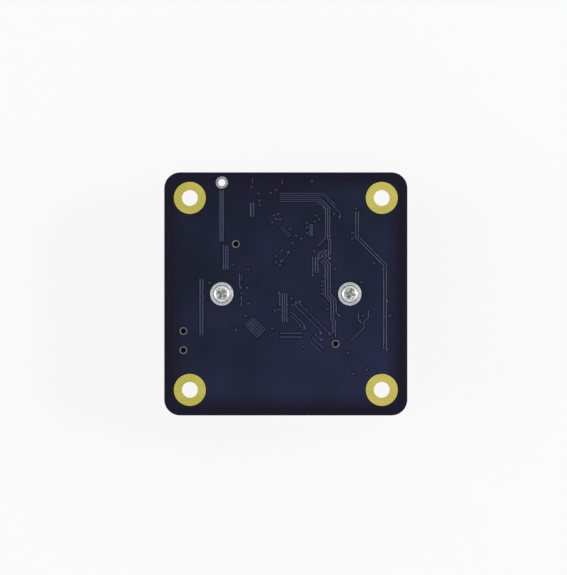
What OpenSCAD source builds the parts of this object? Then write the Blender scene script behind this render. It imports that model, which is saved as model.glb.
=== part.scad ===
// Board camera: a square circuit board with a screwed-on M12 lens holder.
//
// It stands on the front rim of its lens, so the board's back faces up.
// The origin is the middle of that rim, +Z runs up out of the board's back,
// and +Y points to the board's upper edge. All sizes are in millimetres.

/* [Board] */
// Side of the square board
board_w = 38; // [37:0.5:44]
// Thickness of the bare board
board_t = 1.6; // [1:0.1:2]
// Radius of the board's corners
board_corner_r = 2.5; // [1:0.1:3.5]
// Bare margin between the board's edge and the copper area
copper_margin = 1.1; // [0.5:0.1:1.3]
// Height that masked copper stands above the laminate
copper_t = 0.05; // [0.03:0.01:0.08]
// Gap between a track and the copper area round it
copper_gap = 0.16; // [0.1:0.01:0.2]

/* [Mounting holes] */
// Distance between the mounting holes, along either edge
mount_pitch = 30; // [29:0.5:31]
// Clear diameter of a mounting hole
mount_hole_d = 2.5; // [2.1:0.1:2.8]
// Diameter of the gold ring round a mounting hole
mount_pad_d = 5; // [4.2:0.1:5.4]
// Thickness of the plating in and round a hole
plating_t = 0.05; // [0.03:0.01:0.08]

/* [Ground hole] */
// Distance from the board's centre line to the ground hole
ground_hole_x = -10; // [-10.5:0.1:-9]
// Distance from the board's upper edge to the ground hole
ground_hole_inset = 1.6; // [1.5:0.1:2]
// Clear diameter of the ground hole
ground_hole_d = 1.1; // [0.8:0.1:1.2]
// Diameter of the tinned ring round the ground hole
ground_pad_d = 1.9; // [1.6:0.1:2]

/* [Lens holder] */
// Side of the holder's square foot
holder_w = 17.6; // [17.2:0.1:18]
// Height of the holder's foot
holder_foot_h = 4; // [3.8:0.1:4.6]
// Full height of the holder
holder_h = 12.5; // [11:0.1:13]
// Wall of the holder's tower outside the lens's thread
tower_wall = 1.5; // [1:0.1:2]
// Distance between the holder's two screws
holder_screw_pitch = 20; // [19.6:0.1:21]
// Diameter of the boss round each screw
boss_d = 5.2; // [4.6:0.1:5.6]
// Height of the screw bosses
boss_h = 5.4; // [5:0.1:6]
// Side of the cavity over the image sensor
cavity_w = 13.6; // [12.6:0.1:14]
// Depth of that cavity
cavity_h = 3; // [2.4:0.1:3.2]
// Diameter of the window between cavity and lens
window_d = 7.4; // [6.5:0.1:8]
// Thickness of the shelf round the window
shelf_t = 1; // [0.8:0.1:1.4]

/* [Locating pegs] */
// Distance between the holder's two pegs, along either edge
peg_pitch = 15.6; // [15:0.1:15.8]
// Diameter of a locating peg
peg_d = 0.7; // [0.6:0.05:0.75]
// Diameter of the hole that a peg goes in
peg_hole_d = 0.85; // [0.8:0.05:0.95]
// Diameter of the bare ring round a peg hole
bare_ring_d = 1.24; // [1.16:0.02:1.4]
// How far a peg stops short of the board's back
peg_short = 0.6; // [0.3:0.05:0.9]

/* [Holder screws] */
// Diameter of a screw's shank
screw_d = 1.9; // [1.7:0.1:2]
// Length under the head
screw_l = 6; // [5:0.5:6]
// Diameter of the flange under the pan head
screw_flange_d = 3.65; // [3.4:0.05:4]
// Thickness of that flange
screw_flange_t = 0.35; // [0.25:0.05:0.5]
// Diameter of the pan head
screw_head_d = 2.8; // [2.6:0.1:3]
// Height of the head with its flange
screw_head_h = 1.25; // [1.1:0.05:1.4]
// Clearance hole in the board for a screw
screw_hole_d = 2.2; // [2.2:0.1:2.4]
// Width across the cross recess
recess_w = 1.75; // [1.5:0.05:1.9]
// Depth of the cross recess
recess_h = 0.75; // [0.5:0.05:0.8]

/* [Lens] */
// Outer diameter of the lens's thread
lens_thread_d = 12; // [11.8:0.1:12.2]
// How far the lens's head stands out past its thread
lens_head_step = 1; // [0.8:0.1:1.5]
// Length of the lens's head
lens_head_l = 5.6; // [5.4:0.1:6]
// Wall of the lens's head at its front rim
lens_rim_wall = 0.6; // [0.4:0.1:0.8]
// Thread left bare between the locking ring and the lens's head
lens_gap = 1.3; // [0.6:0.1:2.5]
// How far the ring that locks the lens stands out past the thread
lock_ring_step = 1.2; // [0.8:0.1:1.5]
// Thickness of that ring
lock_ring_t = 1.4; // [1:0.1:1.8]

/* [Image sensor] */
// Width of the sensor's ceramic package
sensor_w = 10.4; // [9.6:0.1:11]
// Length of the sensor's ceramic package
sensor_l = 9.2; // [8.6:0.1:10]
// Height of the package under its cover glass
sensor_h = 1.3; // [1.1:0.1:1.4]
// Thickness of the cover glass
cover_glass_t = 0.45; // [0.3:0.05:0.5]
// Side of the infrared filter
filter_w = 8.6; // [8.4:0.1:9]
// Thickness of the infrared filter
filter_t = 0.55; // [0.3:0.05:0.6]

/* [Cable header] */
// Distance from the board's left edge to the header's pegs
header_inset = 3; // [2.9:0.1:3.2]
// Distance from the board's centre line down to the middle of the header
header_drop = 7.3; // [7:0.1:7.6]
// Distance between the header's two pegs
header_peg_pitch = 3; // [2.5:0.1:4]
// Number of contacts
header_ways = 4; // [3:1:4]
// Distance between contacts
header_pitch = 1.5; // [1.25:0.05:1.5]
// Height of the header
header_h = 3.4; // [3:0.1:4]
// Depth of the header, from its mouth to its back
header_l = 5.5; // [5:0.1:5.6]

/* [Controller] */
// Side of the controller's moulded body
controller_w = 7; // [6.5:0.1:7]
// Number of leads on each of its sides
controller_leads_a_side = 12; // [8:1:12]
// Distance between its leads
controller_lead_pitch = 0.5; // [0.4:0.05:0.5]

/* [Hidden] */
$fn = 64;
eps = 0.01;

// Heights in the model's own frame: the lens hangs from the board, and its rim is at z = 0
front_z = holder_h + lock_ring_t + lens_gap + lens_head_l;
back_z = front_z + board_t;

// Diameters that follow the lens's thread
tower_d = lens_thread_d + 2 * tower_wall;
lock_ring_d = lens_thread_d + 2 * lock_ring_step;
lens_head_d = lens_thread_d + 2 * lens_head_step;
lens_mouth_d = lens_head_d - 2 * lens_rim_wall;

// Clearances
thread_fit = 0.05;
seat_fit = 0.03;
land_t = 0.05;
mask_t = 0.03;

// Places of the holes
mount_spots = [for (x = [-1, 1], y = [-1, 1]) [x, y] * mount_pitch / 2];
screw_spots = [[-holder_screw_pitch / 2, 0], [holder_screw_pitch / 2, 0]];
holder_peg_spots = [[-peg_pitch, peg_pitch] / 2, [peg_pitch, -peg_pitch] / 2];
ground_spot = [ground_hole_x, board_w / 2 - ground_hole_inset];
header_x = -board_w / 2 + header_inset;
header_peg_spots = [for (s = [-1, 1]) [header_x, -header_drop + s * header_peg_pitch / 2]];
peg_spots = concat(holder_peg_spots, header_peg_spots);

// Middle of the free band between the holder's foot and the board's edge
band = (holder_w + board_w) / 4;

// Routes and places are laid out for a board 38 mm wide, and spread with the real one
spread = board_w / 38;

// ---------------------------------------------------------------- helpers

// A point on the board's front, with +Z out of the front face
module on_front(spot = [0, 0], turn = 0) {
    translate([spot[0], spot[1], front_z]) mirror([0, 0, 1]) rotate(turn) children();
}

// A rounded rectangle, centred
module rounded_rect(size, r) {
    square([size[0] - 2 * r, size[1]], center = true);
    square([size[0], size[1] - 2 * r], center = true);
    for (x = [-1, 1], y = [-1, 1])
        translate([x * (size[0] / 2 - r), y * (size[1] / 2 - r)]) circle(r);
}

// A slab of trapezoid section, standing on its long face
module tapered_bar(width, top_width, length, height) {
    rotate([90, 0, 0]) linear_extrude(length, center = true)
        polygon([[-width / 2, 0], [width / 2, 0], [top_width / 2, height], [-top_width / 2, height]]);
}

// A rounded block whose upper edge is chamfered by c
module chamfered_block(size, r, c) {
    low = size[2] - c;
    linear_extrude(low) rounded_rect([size[0], size[1]], r);
    translate([0, 0, low]) {
        tapered_bar(size[0], size[0] - 2 * c, size[1] - 2 * r, c);
        rotate(90) tapered_bar(size[1], size[1] - 2 * c, size[0] - 2 * r, c);
        for (x = [-1, 1], y = [-1, 1])
            translate([x * (size[0] / 2 - r), y * (size[1] / 2 - r), 0])
                cylinder(h = c, r1 = r, r2 = r - c);
    }
}

// A tube from z0 to z1
module tube(outer_r, inner_r, z0, z1) {
    rotate_extrude() translate([inner_r, z0]) square([outer_r - inner_r, z1 - z0]);
}

// ------------------------------------------------------------ copper layers

function unit(v) = v / norm(v);
function left_of(v) = [-v[1], v[0]];

// The path moved sideways by d, with mitred bends
function shifted(path, d) = [
    for (i = [0 : len(path) - 1])
        let (
            before = unit(path[max(i, 1)] - path[max(i, 1) - 1]),
            after = unit(path[min(i, len(path) - 2) + 1] - path[min(i, len(path) - 2)]),
            side = unit(left_of(before) + left_of(after))
        )
        path[i] + side * d / (side * left_of(before))
];

// The path with both its ends moved out by d
function stretched(path, d) = let (n = len(path) - 1) [
    for (i = [0 : n])
        i == 0 ? path[0] + unit(path[0] - path[1]) * d :
        i == n ? path[n] + unit(path[n] - path[n - 1]) * d : path[i]
];

// The outline of a track of width w along a path
function ribbon(path, w) = let (a = shifted(path, -w / 2), b = shifted(path, w / 2))
    concat(a, [for (i = [len(b) - 1 : -1 : 0]) b[i]]);

// Tracks on the back: [path, number side by side, pitch, width]. The others lie to the left
// of the path, as seen along it.
back_tracks = [
    // from the ground hole down the left
    [[[-10.05, 16.2], [-10.05, 8.2]], 1, 0, 0.7],
    [[[-9.75, 7.6], [-9.75, 3.8]], 3, 0.35, 0.16],
    [[[-13.4, 2.4], [-13.4, -6.5]], 2, 0.42, 0.18],
    // the pair down the right-hand side
    [[[10.9, 12.9], [10.9, 8.85], [15.28, 4.47], [15.28, -8.6]], 2, 0.44, 0.19],
    // along the top, round the corner and down the middle
    [[[-1, 14.45], [5, 14.45], [6.2, 13.25], [6.2, 8.8]], 3, 0.33, 0.16],
    [[[6.2, 8.9], [6.2, 8.75], [4.95, 7.5]], 1, 0, 0.16],
    [[[6.05, 8.15], [5.15, 7.25]], 1, 0, 0.14],
    [[[6.53, 8.9], [6.53, 8.6], [6.68, 8.45], [6.68, 5.6]], 1, 0, 0.16],
    [[[6.86, 8.9], [6.86, 8.6], [7.01, 8.45], [7.01, 6.2]], 1, 0, 0.16],
    [[[-1, 15.4], [5.75, 15.4], [8.5, 12.65], [8.5, 12.2]], 1, 0, 0.15],
    [[[-1, 15.73], [5.9, 15.73], [7.9, 13.73]], 1, 0, 0.15],
    [[[5.35, 5.15], [6.15, 4.35], [6.15, -0.35], [7.05, -1.25], [7.05, -4.1], [7.35, -4.4], [7.35, -6.1]],
        2, 0.4, 0.17],
    [[[5.9, 5.75], [6.95, 4.7], [6.95, 0], [7.85, -0.9], [7.85, -2.9], [8.3, -3.35]], 1, 0, 0.17],
    [[[7.75, -5.9], [7.75, -6.8]], 1, 0, 0.22],
    [[[6.2, 6.7], [5.6, 6.7], [5, 6.1], [5, 3.3]], 1, 0, 0.17],
    [[[4.6, 5.8], [4.6, 3.3]], 1, 0, 0.18],
    [[[4.2, 5.8], [4.2, 2.7]], 1, 0, 0.16],
    [[[3.93, 10.9], [3.93, 9]], 1, 0, 0.5],
    // slanting runs at the lower middle
    [[[2.2, -1.2], [2.2, -1.55], [6.75, -6.1]], 1, 0, 0.16],
    [[[1.55, -1.3], [1.55, -1.9], [5.35, -5.7], [5.45, -6.1]], 1, 0, 0.15],
    [[[0.75, -3.35], [2.3, -4.9], [2.3, -5.4]], 1, 0, 0.16],
    [[[0.75, -2.7], [2.85, -4.8], [2.85, -5.3]], 1, 0, 0.17],
    [[[3.8, -7.4], [5.5, -9.1]], 1, 0, 0.18],
    [[[4.05, -6.7], [5.9, -8.55]], 1, 0, 0.17],
    [[[4.5, -6.2], [5.45, -7.15]], 1, 0, 0.16],
    [[[-0.9, -6.75], [2.6, -6.75]], 2, 0.6, 0.22],
    [[[-0.55, 0.1], [-0.55, -4.4]], 3, 0.35, 0.16],
    [[[-0.95, 0.1], [-0.95, -1.9]], 1, 0, 0.16],
    // short runs at the upper left and middle
    [[[-5.05, 14.3], [-5.05, 12]], 1, 0, 0.17],
    [[[-5.5, 14.2], [-5.5, 12.1]], 1, 0, 0.25],
    [[[-5.2, 18], [-5.2, 17.2]], 1, 0, 0.16],
    [[[-0.6, 17.9], [-0.6, 17.2]], 1, 0, 0.2],
    [[[-0.9, 10.4], [0.6, 8.9]], 2, 0.35, 0.14],
    [[[-0.65, 5.2], [0.4, 6.25]], 1, 0, 0.14],
    // beside the left-hand screw and under it
    [[[-7.25, 3.3], [-7.25, 1.1]], 1, 0, 0.17],
    [[[-6.9, 3], [-6.9, 2]], 1, 0, 0.14],
    [[[-6.95, -0.7], [-6.95, -2]], 1, 0, 0.14],
    [[[-8.35, -4.75], [-7.9, -5.2]], 1, 0, 0.14],
    // hatched patch
    [[[-6.35, -4.85], [-4.3, -6.9]], 5, 0.42, 0.12],
    [[[-6.35, -4.95], [-5.05, -3.65]], 7, -0.42, 0.12],
    // beside the right-hand screw
    [[[12.9, -2.6], [12.9, -3.7], [12.2, -4.4], [12.2, -5.3], [10.1, -7.4]], 1, 0, 0.2],
    [[[11.35, -3], [11.35, -4], [11.85, -4.6]], 1, 0, 0.17],
    [[[11.5, -5.5], [10.3, -6.7]], 1, 0, 0.14]
];

// Plated vias on the back, each under its cap of solder mask
via_r = 0.26;
back_vias = [
    [10.9, 13.35], [15.8, -1.1], [15.85, -8.75], [16.25, -3.4], [10.4, 9.55], [10.4, 8.7], [13.75, 4.85],
    [8.4, 12], [7.5, 12.5], [4.4, 6.7], [6.2, 6.7], [5.75, 5.9], [6.85, 5.5], [7.7, 3.9], [8.35, -3.4],
    [5.7, 0], [5.7, 0.65], [5.7, 1.3], [5.7, 1.95], [6.5, -2.4],
    [0.85, -0.75], [1.05, -1.75], [1.6, -1.3], [2.2, -1.2], [2.9, -5.35], [2.8, -8.3],
    [6.9, -6.3], [5.45, -6.15], [5.55, -7.15], [9.7, -9.2],
    [-5.4, 16.7], [-4.3, 15.65], [-4.2, 14.6], [-4.1, 13.9], [-2.4, 15.8], [-1.55, 16.25], [4.1, 17.6],
    [-1.8, 12.3], [-1.2, 12.5], [-1.5, 11.7], [-2.1, 11.2], [-0.9, 11.65],
    [0.65, 10.15], [1.6, 9.1], [2.45, 8.65], [1.05, 7.95],
    [0.4, 6.5], [-0.6, 6.8], [-1.5, 5.9], [-1.5, 4.95], [-0.95, 4.5], [-0.7, 5.15],
    [3.3, 11.1], [3.25, 10.4], [3.3, 9.5], [4.5, 11.3], [5.2, 11.65], [4.75, 12.25],
    [-7.05, 1], [-6.9, 0.1], [-7, -0.6], [-6.1, 0.95], [-5.9, 3.8], [-5.95, -1.5], [-8.3, 4.6],
    [-7.85, -5.6], [-2.1, -5.4], [-6.3, -3.4], [-1.1, 0.25], [-1.1, -2.4], [-1.7, -2.6],
    [10.6, -12.5], [12.6, -11.85], [12, -3.4], [11.8, 1.8], [-11.9, 1.7]
];

// Fine row of small vias under the middle of the controller
row_via_r = 0.13;
row_vias = [for (i = [0, 3, 4, 5, 6, 9, 11, 12, 13, 14, 15]) [-2.4 + i * 0.5, 13.95]];

// Tracks on the front, from the header to the controller
front_tracks = [
    [[[-9.9, -6.4], [-9.9, -5], [-13.2, -1.7], [-13.2, 5], [-8.7, 9.5], [-5.4, 9.5], [-4, 10.9]],
        2, 0.5, 0.2],
    [[[7.2, 11.1], [8.1, 11.1]], 1, 0, 0.3],
    [[[11.6, 3.6], [13.6, 3.6]], 1, 0, 0.6],
    [[[-1.6, -10.9], [-1.6, -9.4]], 4, 1.27, 0.18],
    [[[4.6, -9.6], [9.6, -9.6], [12.4, -6.8], [12.4, -4.4]], 2, 0.45, 0.18],
    [[[-16.8, 10.2], [-16.8, 3.6], [-15.4, 2.2]], 3, 0.6, 0.2]
];
front_vias = [
    [-14.6, 1], [-10.6, 4.4], [7.4, 9.55], [10.8, 16.5], [11.6, -10.8], [2.4, -17.4], [5.6, -17.6],
    [16.8, 7.4], [17.2, 10.4], [-7.8, 16.6], [-11.4, 9.8], [-17.6, 8.2], [17.4, -9.4]
];

// A via's pad, drawn as a fine polygon
module via_pad(spot, r) {
    translate(spot * spread) circle(r, $fn = 10);
}

// Each track of each group
module track_shapes(tracks, vias) {
    for (t = tracks, k = [0 : t[1] - 1]) polygon(ribbon(shifted(t[0] * spread, k * t[2]), t[3]));
    for (v = vias) via_pad(v, via_r);
}

// The moat round each group of tracks and each via
module moat_shapes(tracks, vias) {
    for (t = tracks) let (breadth = (t[1] - 1) * t[2], path = stretched(t[0] * spread, copper_gap))
        polygon(ribbon(shifted(path, breadth / 2), abs(breadth) + t[3] + 2 * copper_gap));
    for (v = vias) via_pad(v, via_r + copper_gap);
}

// Everything that the copper on either face keeps clear of
module hole_clearances(extra) {
    for (s = mount_spots) translate(s) circle(mount_pad_d / 2 + extra);
    for (s = peg_spots) translate(s) circle(bare_ring_d / 2 + extra);
    translate(ground_spot) circle(ground_pad_d / 2 + extra);
}

// Copper area with a moat round each track, and the tracks in their moats.
// Both keep clear of the holes and of the children.
module copper_layer(tracks, vias) {
    side = board_w - 2 * copper_margin;
    difference() {
        union() {
            difference() {
                rounded_rect([side, side], max(board_corner_r - copper_margin, 0.4));
                moat_shapes(tracks, vias);
            }
            track_shapes(tracks, vias);
        }
        hole_clearances(copper_gap);
        children();
    }
}

module back_copper() {
    color([0.15, 0.16, 0.24]) translate([0, 0, back_z]) linear_extrude(copper_t) {
        copper_layer(back_tracks, back_vias) {
            for (s = screw_spots) translate(s) circle(screw_flange_d / 2 + copper_gap);
            for (v = row_vias) via_pad(v, row_via_r + copper_gap / 2);
        }
        for (v = row_vias) via_pad(v, row_via_r);
    }
}

module front_copper() {
    color([0.15, 0.16, 0.24]) on_front() linear_extrude(copper_t)
        copper_layer(front_tracks, front_vias) {
            holder_footprint(seat_fit + copper_gap);
            land_shapes(copper_gap);
            bodies_footprint(copper_gap);
        }
}

// ------------------------------------------------------------------- board

module circuit_board() {
    color([0.09, 0.09, 0.14]) difference() {
        translate([0, 0, front_z]) linear_extrude(board_t)
            rounded_rect([board_w, board_w], board_corner_r);
        translate([0, 0, front_z - eps]) linear_extrude(board_t + 2 * eps) {
            for (s = mount_spots) translate(s) circle(mount_hole_d / 2 + plating_t);
            for (s = screw_spots) translate(s) circle(screw_hole_d / 2);
            for (s = peg_spots) translate(s) circle(peg_hole_d / 2);
            translate(ground_spot) circle(ground_hole_d / 2 + plating_t);
        }
        // the mask stops short of each unplated peg hole
        for (s = peg_spots)
            translate([s[0], s[1], back_z - mask_t]) cylinder(h = 1, r = bare_ring_d / 2);
    }
}

// Plating that lines a hole and forms a ring on both faces
module eyelet(hole_d, pad_d) {
    rotate_extrude() polygon([
        [hole_d / 2, -plating_t], [pad_d / 2, -plating_t], [pad_d / 2, 0],
        [hole_d / 2 + plating_t, 0], [hole_d / 2 + plating_t, board_t], [pad_d / 2, board_t],
        [pad_d / 2, board_t + plating_t], [hole_d / 2, board_t + plating_t]
    ]);
}

module mounting_hole_plating() {
    color([0.78, 0.72, 0.3]) for (s = mount_spots)
        translate([s[0], s[1], front_z]) eyelet(mount_hole_d, mount_pad_d);
}

module ground_hole_plating() {
    color([0.8, 0.8, 0.82]) translate([ground_spot[0], ground_spot[1], front_z])
        eyelet(ground_hole_d, ground_pad_d);
}

// ------------------------------------------------------------- lens holder

// Outline of the holder where it stands on the board
module holder_footprint(grow) {
    rounded_rect([holder_w + 2 * grow, holder_w + 2 * grow], 1.4 + grow);
    for (s = screw_spots) translate(s) circle(boss_d / 2 + grow);
    square([holder_screw_pitch, boss_d - 0.8 + 2 * grow], center = true);
}

holder_rib_t = 1;
pilot_extra = 0.3;

module holder_body() {
    chamfered_block([holder_w, holder_w, holder_foot_h], 1.4, 0.5);
    translate([0, 0, holder_foot_h / 2])
        cube([holder_screw_pitch, boss_d - 0.8, holder_foot_h], center = true);
    for (s = screw_spots) translate(s) {
        cylinder(h = boss_h - 0.3, d = boss_d);
        translate([0, 0, boss_h - 0.3]) cylinder(h = 0.3, r1 = boss_d / 2, r2 = boss_d / 2 - 0.3);
    }
    cylinder(h = holder_h - 0.4, d = tower_d);
    translate([0, 0, holder_h - 0.4]) cylinder(h = 0.4, r1 = tower_d / 2, r2 = tower_d / 2 - 0.4);
    // gussets from the tower to the foot's corners, and to the bosses
    for (a = [45 : 90 : 315]) rotate(a) holder_gusset(holder_w * 0.62, holder_h * 0.62);
    for (a = [0, 180]) rotate(a) holder_gusset(holder_screw_pitch / 2, boss_h + 1.6);
}

// A thin triangular rib that leans against the tower
module holder_gusset(reach, height) {
    rotate([90, 0, 0]) linear_extrude(holder_rib_t, center = true) polygon([
        [tower_d / 2 - 1, holder_foot_h - 1], [reach, holder_foot_h - 1],
        [reach, holder_foot_h], [tower_d / 2 - 0.1, height], [tower_d / 2 - 1, height]
    ]);
}

module lens_holder() {
    shelf_z = cavity_h + filter_t;
    pilot_l = screw_l - board_t + pilot_extra;
    bore_d = lens_thread_d + 2 * thread_fit;
    color([0.07, 0.07, 0.08]) on_front() {
        difference() {
            holder_body();
            translate([0, 0, -eps]) linear_extrude(cavity_h + eps) rounded_rect([cavity_w, cavity_w], 1);
            linear_extrude(shelf_z) square(filter_w + 2 * seat_fit, center = true);
            cylinder(h = holder_h, d = window_d);
            translate([0, 0, shelf_z + shelf_t]) cylinder(h = holder_h, d = bore_d);
            translate([0, 0, holder_h - 0.4]) cylinder(h = 0.4 + eps, d1 = bore_d, d2 = bore_d + 0.8);
            for (s = screw_spots) translate([s[0], s[1], -eps])
                cylinder(h = pilot_l, r = screw_d / 2 + seat_fit);
        }
        for (s = holder_peg_spots) translate([s[0], s[1], peg_short - board_t])
            cylinder(h = board_t - peg_short + 0.5, d = peg_d);
    }
}

// ------------------------------------------------------------------ screws

wing_t = 0.42;
recess_tip_r = 0.3;

// One wing of a cross recess, sunk from the top of the head
module recess_wing(depth) {
    rotate([90, 0, 0]) linear_extrude(wing_t, center = true) polygon([
        [-recess_w / 2, eps], [recess_w / 2, eps], [recess_w / 2 - 0.1, -0.1],
        [recess_tip_r, -depth], [-recess_tip_r, -depth], [0.1 - recess_w / 2, -0.1]
    ]);
}

// Washer flange with a domed head on it
module pan_head() {
    flange_r = screw_flange_d / 2;
    head_r = screw_head_d / 2;
    flat_r = head_r * 0.62;
    dome_h = (screw_head_h - screw_flange_t) * 0.65;
    rotate_extrude() polygon(concat(
        [[0, 0], [flange_r, 0], [flange_r, screw_flange_t - 0.12], [flange_r - 0.12, screw_flange_t]],
        [[head_r, screw_flange_t + 0.04], [head_r, screw_head_h - dome_h]],
        [for (a = [15 : 15 : 75])
            [flat_r + (head_r - flat_r) * cos(a), screw_head_h - dome_h * (1 - sin(a))]],
        [[flat_r, screw_head_h], [0, screw_head_h]]
    ));
}

// Washer-head screw, its flange's underside at z = 0 and its shank pointing down
module pan_screw(turn) {
    difference() {
        pan_head();
        translate([0, 0, screw_head_h]) rotate(turn) {
            recess_wing(recess_h);
            rotate(90) recess_wing(recess_h);
        }
    }
    rotate_extrude() polygon([
        [0, 0.1], [screw_d / 2, 0.1], [screw_d / 2, 0.6 - screw_l], [0.25, -screw_l], [0, -screw_l]
    ]);
}

module holder_screws() {
    turns = [58, 75];
    color([0.8, 0.81, 0.82]) for (i = [0, 1])
        translate([screw_spots[i][0], screw_spots[i][1], back_z]) pan_screw(turns[i]);
}

// -------------------------------------------------------------------- lens
// Inside the lens, s is the distance from the barrel's rear end.

// Gap between the holder's shelf and the lens's rear end
rear_gap = 0.85;
shelf_top_h = cavity_h + filter_t + shelf_t;
lens_l = front_z - shelf_top_h - rear_gap;
rear_bore_r = 4.4;
mid_bore_r = 4.2;
front_bore_r = 5.6;
ring_bore_r = 6;
// Stations along the barrel: [rear lens, its shoulder, third lens, stop, second lens, front lens]
rear_lens_s = 1.1;
rear_lens_t = 0.8;
third_lens_s = 3.3;
third_lens_t = 1;
stop_spacer_t = 2.3;
second_lens_s = third_lens_s + third_lens_t + stop_spacer_t;
second_lens_t = 2.4;
front_spacer_t = 1.2;
front_lens_s = second_lens_s + second_lens_t + front_spacer_t;
front_lens_t = 1.6;
front_ring_t = 1.1;
shoulder_r = 3.6;
mid_aperture = 3.3;

// The lens's own axis, with s = 0 at the barrel's rear end
module in_lens() {
    translate([0, 0, lens_l]) mirror([0, 0, 1]) children();
}

// Points of a spherical face from the edge of its aperture to the axis.
// A positive radius bulges in the direction dir.
function face_points(aperture, radius, s, dir) = let (
        r = abs(radius), sign = radius / r * dir,
        base = sqrt(r * r - aperture * aperture)
    )
    [for (i = [0 : 8]) let (x = aperture * (1 - i / 8)) [x, s + sign * (sqrt(r * r - x * x) - base)]];

// A glass element with flat lands round its two polished faces
module element(edge_r, s, t, rear_aperture, rear_radius, front_aperture, front_radius) {
    rear = face_points(rear_aperture, rear_radius, s, -1);
    front = face_points(front_aperture, front_radius, s + t, 1);
    rotate_extrude() polygon(concat(
        [for (i = [len(rear) - 1 : -1 : 0]) rear[i]],
        [[edge_r, s], [edge_r, s + t]], front
    ));
}

module rear_lens() {
    aperture = shoulder_r - 0.1;
    color([0.75, 0.85, 0.9, 0.5]) in_lens()
        element(rear_bore_r, rear_lens_s, rear_lens_t, aperture, 8, aperture, 12);
}

module third_lens() {
    color([0.75, 0.85, 0.9, 0.5]) in_lens()
        element(mid_bore_r, third_lens_s, third_lens_t, mid_aperture, 10, mid_aperture, 7);
}

module second_lens() {
    color([0.75, 0.85, 0.9, 0.5]) in_lens()
        element(mid_bore_r, second_lens_s, second_lens_t, mid_aperture, -9, mid_aperture, -6);
}

module front_lens() {
    color([0.6, 0.7, 0.85, 0.5]) in_lens()
        element(front_bore_r, front_lens_s, front_lens_t, 3.8, -5.5, 4.8, 12);
}

// Spacer with the aperture stop as a thin wall across it
module stop_spacer() {
    s = third_lens_s + third_lens_t;
    wall = s + stop_spacer_t / 2;
    color([0.05, 0.05, 0.05]) in_lens() {
        tube(mid_bore_r, 3.4, s, s + stop_spacer_t);
        tube(mid_bore_r, 1.6, wall - 0.1, wall + 0.2);
    }
}

module front_spacer() {
    color([0.05, 0.05, 0.05]) in_lens()
        tube(mid_bore_r, 3.5, second_lens_s + second_lens_t, front_lens_s);
}

// Threaded ring with two slots for a pin spanner in its outer face
module slotted_ring(outer_r, inner_r, s0, s1, slot_s) {
    difference() {
        tube(outer_r, inner_r, s0, s1);
        translate([0, 0, slot_s]) cube([2 * outer_r + 1, 0.8, 0.6], center = true);
    }
}

module rear_retaining_ring() {
    color([0.1, 0.1, 0.1]) in_lens()
        slotted_ring(rear_bore_r, shoulder_r, 0.3, rear_lens_s, 0.3);
}

module front_retaining_ring() {
    s = front_lens_s + front_lens_t;
    color([0.1, 0.1, 0.1]) in_lens()
        slotted_ring(ring_bore_r, 4.9, s, s + front_ring_t, s + front_ring_t);
}

// Revolved section of the barrel, outside first and then back through the bores
module barrel_turning() {
    head_s = lens_l - lens_head_l;
    front_ring_s = front_lens_s + front_lens_t;
    thread_r = lens_thread_d / 2;
    head_r = lens_head_d / 2;
    rotate_extrude() polygon([
        [rear_bore_r + seat_fit, 0], [thread_r - 0.4, 0], [thread_r, 0.4],
        [thread_r, head_s - 0.5], [thread_r - 0.35, head_s - 0.5], [thread_r - 0.35, head_s],
        [head_r - 0.3, head_s], [head_r, head_s + 0.3],
        [head_r, head_s + 1.2], [head_r - 0.25, head_s + 1.35], [head_r - 0.25, head_s + 1.55],
        [head_r, head_s + 1.7], [head_r, lens_l - 0.25], [head_r - 0.25, lens_l],
        [lens_mouth_d / 2, lens_l], [ring_bore_r + seat_fit, front_ring_s + front_ring_t],
        [ring_bore_r + seat_fit, front_ring_s], [front_bore_r + seat_fit, front_ring_s],
        [front_bore_r + seat_fit, front_lens_s], [mid_bore_r + seat_fit, front_lens_s],
        [mid_bore_r + seat_fit, third_lens_s], [shoulder_r, third_lens_s],
        [shoulder_r, rear_lens_s + rear_lens_t], [rear_bore_r + seat_fit, rear_lens_s + rear_lens_t]
    ]);
}

grip_flutes = 36;
// Plain bands of the head under and over its flutes
flute_start = 2.1;
flute_stop = 0.9;

module lens_barrel() {
    flute_r = 0.3;
    flute_s = lens_l - lens_head_l + flute_start;
    color([0.06, 0.06, 0.07]) in_lens() difference() {
        barrel_turning();
        // grip flutes round the head
        for (i = [0 : grip_flutes - 1]) rotate(i * 360 / grip_flutes)
            translate([lens_head_d / 2 + flute_r * 0.45, 0, flute_s])
                cylinder(h = lens_head_l - flute_start - flute_stop, r = flute_r);
    }
}

module lens_lock_ring() {
    color([0.08, 0.08, 0.09]) on_front() difference() {
        translate([0, 0, holder_h]) rotate_extrude() polygon([
            [lens_thread_d / 2 + thread_fit, 0], [lock_ring_d / 2 - 0.2, 0], [lock_ring_d / 2, 0.2],
            [lock_ring_d / 2, lock_ring_t - 0.2], [lock_ring_d / 2 - 0.2, lock_ring_t],
            [lens_thread_d / 2 + thread_fit, lock_ring_t]
        ]);
        // notches for a hook spanner
        for (a = [0 : 60 : 300]) rotate(a)
            translate([lock_ring_d / 2, 0, holder_h + lock_ring_t / 2])
                cube([0.9, 1.2, lock_ring_t + 1], center = true);
    }
}

module ir_cut_filter() {
    color([0.7, 0.5, 0.75, 0.5]) on_front() translate([0, 0, cavity_h])
        linear_extrude(filter_t) square(filter_w, center = true);
}

// ------------------------------------------------------------ image sensor

sensor_wall = 1;
die_margin = 1;
die_t = 0.35;
tub_h = 0.7;

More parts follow.
